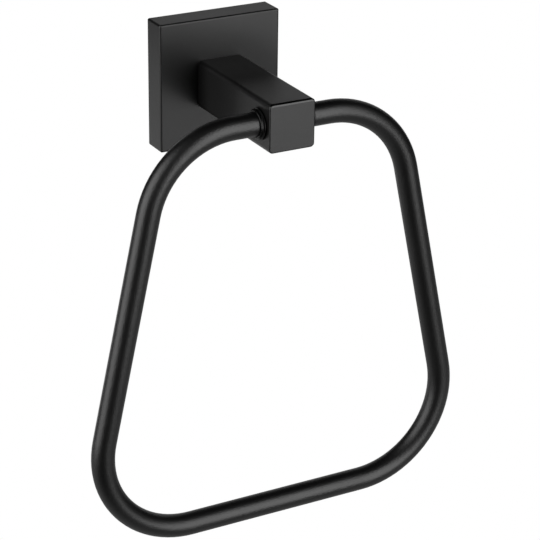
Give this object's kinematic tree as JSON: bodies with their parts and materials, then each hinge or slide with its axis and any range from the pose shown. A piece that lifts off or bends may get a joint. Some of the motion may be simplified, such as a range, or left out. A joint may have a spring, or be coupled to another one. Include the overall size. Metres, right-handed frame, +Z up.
{
  "type": "towel ring",
  "caption": "Wall-mounted towel ring: square cover plate and square post, with a rounded trapezoid ring of round bar that hangs from the post and swings in two bushes.",
  "frame": {"origin": "on the wall plane, in the middle of the square cover plate and midway between the bracket's two wall holes", "axes": "+X along the wall, to the right as seen from the room; +Y into the wall; +Z up"},
  "size_m": [0.1572, 0.0678, 0.1893],
  "materials": {
    "black_metal": "smooth satin black coating",
    "black_steel": "blackened steel",
    "plated_steel": "zinc plated, dull",
    "black_nylon": "matte moulded"
  },
  "bodies": {
    "wall_unit": {"wall_bracket": "plated_steel", "wall_plate": "black_metal", "clamp_screw": "black_steel", "post": "black_metal", "post_washer": "plated_steel", "post_screw": "plated_steel", "bush_left": "black_nylon", "bush_right": "black_nylon"},
    "swing_ring": {"ring": "black_metal"}
  },
  "joints": [
    {"name": "ring_swing", "type": "hinge", "parent": "wall_unit", "child": "swing_ring", "pos_m": [0, -0.0598, 0], "axis": [-1, 0, 0], "range_deg": [-20, 200]}
  ]
}
